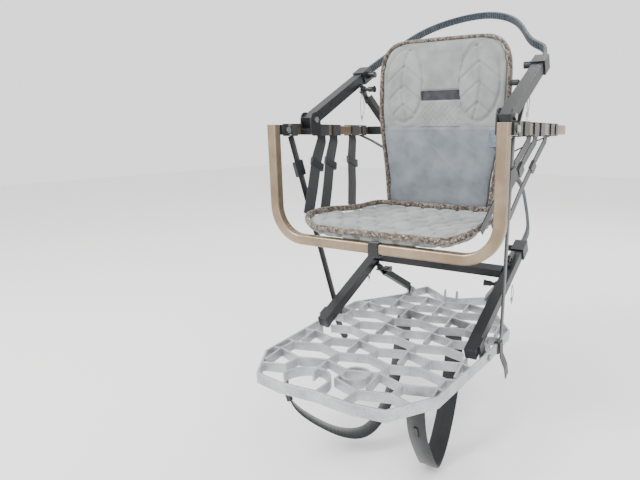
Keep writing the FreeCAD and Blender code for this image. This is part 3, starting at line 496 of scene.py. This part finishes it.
def seat_cushion():
    """Slung quilted seat with bound edges."""
    bm = bmesh.new()
    bmesh.ops.create_grid(bm, x_segments=36, y_segments=30, size=1.0)
    middle, reach = (SEAT_FRONT + SEAT_REAR) / 2, (SEAT_REAR - SEAT_FRONT) / 2
    for v in bm.verts:
        y = middle + reach * v.co.y
        x = v.co.x * (half_width(SEAT_OUTLINE, y) - 0.004)
        v.co = (x, y, seat_height(x, y) - 0.005)
    bmesh.ops.recalc_face_normals(bm, faces=bm.faces[:])
    bmesh.ops.solidify(bm, geom=bm.faces[:], thickness=-0.010)
    bmesh.ops.recalc_face_normals(bm, faces=bm.faces[:])
    seat = place_piece("seat_cushion", bm, ["seat_fabric"])
    stuff(seat)
    upward = [v.normal.z > 0 for v in seat.data.vertices]
    for v, up in zip(seat.data.vertices, upward):
        channel, near = seat_quilt(v.co.x, v.co.y)
        lift = 0.0022 * max(0.0, 1 - (near / 0.024) ** 2) - 0.0038 * channel
        v.co.z += lift if up else -0.4 * lift
    seat.data.shade_smooth()
    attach(seat, "seat_frame")
    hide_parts("seat_pad")
    rim = [(half_width(SEAT_OUTLINE, y), y) for y, _ in SEAT_OUTLINE]
    rim = rim + [(-w, y) for w, y in reversed(rim)]
    route = [Vector((x, y, seat_height(x, y))) for x, y in rim]
    line = smooth_line(route, True)
    bound = sweep(line, Vector((0, 0, 1)), oval(0.0085, 0.0055), True)
    binding = place_piece("seat_binding", bound, ["binding"], "seat_frame")


# ---- Back ----
def back_relief(x, z):
    """How far the moulded and sewn front stands out or sinks."""
    side = abs(x)
    if z < NYLON_TOP:
        fold = noise.noise(Vector(((x + z * 0.9) * 12, (z - x * 0.6) * 5, 1.7)))
        fine = noise.noise(Vector(((x + z * 1.1) * 34, (z - x * 0.5) * 12, 4.2)))
        return 0.0045 * (0.5 - abs(fold)) + 0.0012 * fine - 0.003 * groove(z - NYLON_TOP, 0.006)
    p, q = (side - 0.112) / 0.058, (z - 0.124) / 0.100
    reach = math.hypot(p, q)
    rise = -0.003 * groove(reach - 1.02, 0.09)
    if reach < 1:
        rise += 0.0075 * math.sqrt(1 - reach ** 2)
        rise -= 0.004 * groove(p - 0.35 * (1 - q * q) + 0.25, 0.10)
        rib = (q * 1.9 + 0.9 * abs(p)) % 1.0
        rise -= 0.0032 * groove(min(rib, 1 - rib), 0.11)
        return rise
    if side < 0.060:
        if 0.080 < z < 0.108:
            return -0.006
        if z < 0.074:
            lattice = min((x * 60 + z * 60) % 1.0, (z * 60 - x * 60) % 1.0)
            return 0.001 - 0.002 * groove(lattice, 0.22)
        return 0.002 * groove(z - 0.165, 0.060)
    return rise - 0.002 * groove(z - NYLON_TOP, 0.006)


def back_cushion():
    """Tall padded back: moulded bolsters above, wrinkled nylon below, bound all round."""
    bm = bmesh.new()
    bmesh.ops.create_grid(bm, x_segments=36, y_segments=44, size=1.0)
    middle, reach = (BACK_FOOT + BACK_TOP) / 2, (BACK_TOP - BACK_FOOT) / 2
    for v in bm.verts:
        z = middle + reach * v.co.y
        x = v.co.x * (half_width(BACK_OUTLINE, z) - 0.004)
        v.co = (x, -0.1245 + BACK_LEAN * (z - BACK_FOOT), z)
    bmesh.ops.recalc_face_normals(bm, faces=bm.faces[:])
    bmesh.ops.solidify(bm, geom=bm.faces[:], thickness=0.016)
    bmesh.ops.recalc_face_normals(bm, faces=bm.faces[:])
    low = min(v.co.y - BACK_LEAN * (v.co.z - BACK_FOOT) for v in bm.verts)
    bmesh.ops.translate(bm, verts=bm.verts[:], vec=(0, -0.124 - low, 0))
    back = place_piece("back_cushion", bm, ["moulded_foam", "slate_nylon", "slot_mesh"])
    stuff(back)
    forward = [v.normal.y < -0.25 for v in back.data.vertices]
    for v, front in zip(back.data.vertices, forward):
        if front:
            v.co.y -= back_relief(v.co.x, v.co.z)
    cut = bmesh.new()
    cut.from_mesh(back.data)
    level = [((0, 0, z), (0, 0, 1)) for z in (NYLON_TOP, SLOT_LOW, SLOT_HIGH)]
    upright = [((x, 0, 0), (1, 0, 0)) for x in (SLOT_HALF, -SLOT_HALF)]
    for spot, way in level + upright:
        bmesh.ops.bisect_plane(cut, geom=cut.verts[:] + cut.edges[:] + cut.faces[:], dist=1e-6,
                               plane_co=spot, plane_no=way)
    for face in cut.faces:
        at = face.calc_center_median()
        if at.z < NYLON_TOP:
            face.material_index = 1
        elif SLOT_LOW < at.z < SLOT_HIGH and abs(at.x) < SLOT_HALF and face.normal.y < 0:
            face.material_index = 2
        face.smooth = True
    cut.to_mesh(back.data)
    cut.free()
    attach(back, "seat_frame")
    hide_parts("backrest_pad")
    rim = [(half_width(BACK_OUTLINE, z), z) for z, _ in BACK_OUTLINE]
    rim = rim + [(-w, z) for w, z in reversed(rim)]
    route = [Vector((x, -0.116 + BACK_LEAN * (z - BACK_FOOT), z)) for x, z in rim]
    bound = sweep(smooth_line(route, True), Vector((0, 1, 0)), oval(0.012, 0.006), True)
    binding = place_piece("back_binding", bound, ["binding"], "seat_frame")


# ---- Straps and wires ----
def carry_straps():
    """Two shoulder straps that hang in loops under the platform."""
    sizes = bpy.context.scene.stand_sizes
    section = tape(sizes.shoulder_width, sizes.shoulder_thick)
    pair = (("left", CARRY_LEFT, Vector((0.8, -0.6, 0))), ("right", CARRY_RIGHT, Vector((1, 0, 0))))
    for name, route, side in pair:
        shape = sweep(smooth_line([Vector(p) for p in route]), side, section)
        strap = place_piece("shoulder_strap_" + name, shape, ["black_webbing"], "platform")
        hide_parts("carry_strap_" + name)


def tether_straps():
    """Two straight straps from the seat frame to the platform."""
    sizes = bpy.context.scene.stand_sizes
    section = tape(sizes.hanging_width, sizes.hanging_thick)
    for name, sign in (("left", -1), ("right", 1)):
        top, end = (Vector((sign * p[0], p[1], p[2])) for p in (TETHER_TOP, TETHER_END))
        route = [top.lerp(end, k / 24) for k in range(25)]
        shape = sweep(route, Vector((0, 1, 0)), section)
        strap = place_piece("hanging_strap_" + name, shape, ["black_webbing"])
        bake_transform(strap)
        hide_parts("tether_strap_" + name)


def pin_wires():
    """Wire lanyard loops that hang beside the quick pins."""
    levels = (("upper", UPPER_WIRE, UPPER_WIRE_LENGTH), ("lower", LOWER_WIRE, LOWER_WIRE_LENGTH))
    for level, route, length in levels:
        for name, sign in (("left", -1), ("right", 1)):
            line = bpy.data.curves.new(level + "_wire_" + name, "CURVE")
            line.dimensions = "3D"
            spline = line.splines.new("NURBS")
            spline.points.add(len(route) - 1)
            for knot, at in zip(spline.points, route):
                knot.co = (sign * at[0], at[1], at[2], 1.0)
            spline.order_u = 3
            spline.use_endpoint_u = True
            spline.resolution_u = 12
            line.bevel_depth = WIRE_THICK / 2
            line.bevel_resolution = 2
            line.use_fill_caps = True
            line.materials.append(FINISHES["wire_lanyard"])
            wire = bpy.data.objects.new(line.name, line)
            bpy.context.scene.collection.objects.link(wire)
            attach(wire, level + "_arms")
            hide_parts(f"{level}_lanyard_{name}")


# ---- Stage ----
def studio():
    """Pale floor and backdrop, soft lights and the camera."""
    scene = bpy.context.scene
    bm = bmesh.new()
    bmesh.ops.create_grid(bm, x_segments=1, y_segments=1, size=FLOOR_SIZE)
    bmesh.ops.translate(bm, verts=bm.verts[:], vec=(0, 0, CAD_BOX[0].z - FLOOR_DROP))
    mesh = bpy.data.meshes.new("studio_floor")
    bm.to_mesh(mesh)
    bm.free()
    paper, _, shader, _ = start_finish("matt_white_paper", 0.9, specular=0.1)
    shader.inputs["Base Color"].default_value = linear("#F4F4F3")
    mesh.materials.append(paper)
    floor = bpy.data.objects.new("studio_floor", mesh)
    scene.collection.objects.link(floor)
    world = bpy.data.worlds.new("studio")
    world.use_nodes = True
    backdrop = world.node_tree.nodes["Background"]
    backdrop.inputs["Color"].default_value = linear("#FBFBFB")
    backdrop.inputs["Strength"].default_value = BACKDROP_LIGHT
    scene.world = world
    for name, at, size, watts in LAMPS:
        light = bpy.data.lights.new(name, "AREA")
        light.size = size
        light.energy = watts
        lamp = bpy.data.objects.new(name, light)
        lamp.location = at
        lamp.rotation_euler = (Vector(LAMP_AIM) - Vector(at)).to_track_quat("-Z", "Y").to_euler()
        scene.collection.objects.link(lamp)
    lens = bpy.data.cameras.new("camera")
    lens.lens = LENS_MM
    lens.sensor_width = SENSOR_MM
    lens.shift_x = LENS_SHIFT
    camera = bpy.data.objects.new("camera", lens)
    camera.location = CAMERA_AT
    camera.rotation_euler = Vector(CAMERA_AIM).to_track_quat("-Z", "Y").to_euler()
    scene.collection.objects.link(camera)
    scene.camera = camera


def dress_frame():
    """Give every CAD node the finish of its slot."""
    for row in frame["record"]["subparts"]:
        node = NODES[row["node"]]
        for place in node.material_slots:
            place.material = FINISHES[row["material_slot"]]


# ---- Add-on ----
def colour_setting(name, note, text):
    """Colour that a user may change, from its sRGB hex default."""
    return bpy.props.FloatVectorProperty(name=name, description=note, subtype="COLOR", size=4, min=0, max=1,
                                         default=linear(text))


def length_setting(name, note, size):
    """Length that a user may change, in metres."""
    return bpy.props.FloatProperty(name=name, description=note, unit="LENGTH", min=0.0005, default=size)


class StandSizes(bpy.types.PropertyGroup):
    """Sizes of the webbing."""
    shoulder_width: length_setting("Shoulder Width", "Width of the shoulder straps", 0.045)
    shoulder_thick: length_setting("Shoulder Thickness", "Thickness of the shoulder straps", 0.0026)
    hanging_width: length_setting("Hanging Width", "Width of the straps between the sections", 0.022)
    hanging_thick: length_setting("Hanging Thickness", "Thickness of those straps", 0.0024)


class StandColours(bpy.types.PropertyGroup):
    """Colours of the main finishes; each is the darker of its finish's two tones."""
    tube: colour_setting("Tube", "Anodised tube", "#85745F")
    platform: colour_setting("Platform", "Cast platform", "#A6A8AB")
    seat: colour_setting("Seat", "Quilted seat cover", "#7C8382")
    foam: colour_setting("Foam", "Moulded back panel", "#777C7B")
    nylon: colour_setting("Nylon", "Lower back panel", "#62686F")


class TREESTAND_OT_studio(bpy.types.Operator):
    """Make the floor, lights and camera"""
    bl_idname = "treestand.studio"
    bl_label = "Studio"

    def execute(self, context):
        studio()
        return {"FINISHED"}


class TREESTAND_OT_finishes(bpy.types.Operator):
    """Make every material"""
    bl_idname = "treestand.finishes"
    bl_label = "Finishes"

    def execute(self, context):
        make_finishes()
        return {"FINISHED"}


class TREESTAND_OT_frame(bpy.types.Operator):
    """Finish the metal frame and fittings"""
    bl_idname = "treestand.frame"
    bl_label = "Frame Finishes"

    def execute(self, context):
        dress_frame()
        return {"FINISHED"}


class TREESTAND_OT_wires(bpy.types.Operator):
    """Make the wire lanyards of the quick pins"""
    bl_idname = "treestand.wires"
    bl_label = "Pin Wires"

    def execute(self, context):
        pin_wires()
        return {"FINISHED"}


class TREESTAND_OT_seat(bpy.types.Operator):
    """Make the quilted seat"""
    bl_idname = "treestand.seat"
    bl_label = "Seat Cushion"

    def execute(self, context):
        seat_cushion()
        return {"FINISHED"}


class TREESTAND_OT_back(bpy.types.Operator):
    """Make the moulded back pad"""
    bl_idname = "treestand.back"
    bl_label = "Back Cushion"

    def execute(self, context):
        back_cushion()
        return {"FINISHED"}


class TREESTAND_OT_shoulder_straps(bpy.types.Operator):
    """Make the shoulder straps"""
    bl_idname = "treestand.shoulder_straps"
    bl_label = "Shoulder Straps"

    def execute(self, context):
        carry_straps()
        return {"FINISHED"}


class TREESTAND_OT_hanging_straps(bpy.types.Operator):
    """Make the straps between seat and platform"""
    bl_idname = "treestand.hanging_straps"
    bl_label = "Hanging Straps"

    def execute(self, context):
        tether_straps()
        return {"FINISHED"}


OPERATORS = (TREESTAND_OT_studio, TREESTAND_OT_finishes, TREESTAND_OT_frame, TREESTAND_OT_wires,
             TREESTAND_OT_seat, TREESTAND_OT_back, TREESTAND_OT_shoulder_straps,
             TREESTAND_OT_hanging_straps)


class TREESTAND_PT_panel(bpy.types.Panel):
    """Lists the stand's settings and operators."""
    bl_label = "Tree Stand"
    bl_idname = "TREESTAND_PT_panel"
    bl_space_type = "VIEW_3D"
    bl_region_type = "UI"
    bl_category = "Tree Stand"

    def draw(self, context):
        for settings in (context.scene.stand_sizes, context.scene.stand_colours):
            for name in settings.__annotations__:
                self.layout.prop(settings, name)
        for operator in OPERATORS:
            self.layout.operator(operator.bl_idname)


CLASSES = (StandSizes, StandColours, *OPERATORS, TREESTAND_PT_panel)


def register():
    """Register the classes and settings."""
    for made in CLASSES:
        bpy.utils.register_class(made)
    bpy.types.Scene.stand_sizes = bpy.props.PointerProperty(type=StandSizes)
    bpy.types.Scene.stand_colours = bpy.props.PointerProperty(type=StandColours)


def unregister():
    """Take the settings and classes away."""
    del bpy.types.Scene.stand_colours
    del bpy.types.Scene.stand_sizes
    for made in reversed(CLASSES):
        bpy.utils.unregister_class(made)


def main():
    """Build everything in order."""
    register()
    for step in ("studio", "finishes", "frame", "wires", "seat", "back", "shoulder_straps", "hanging_straps"):
        getattr(bpy.ops.treestand, step)()


if __name__ == "__main__":
    main()
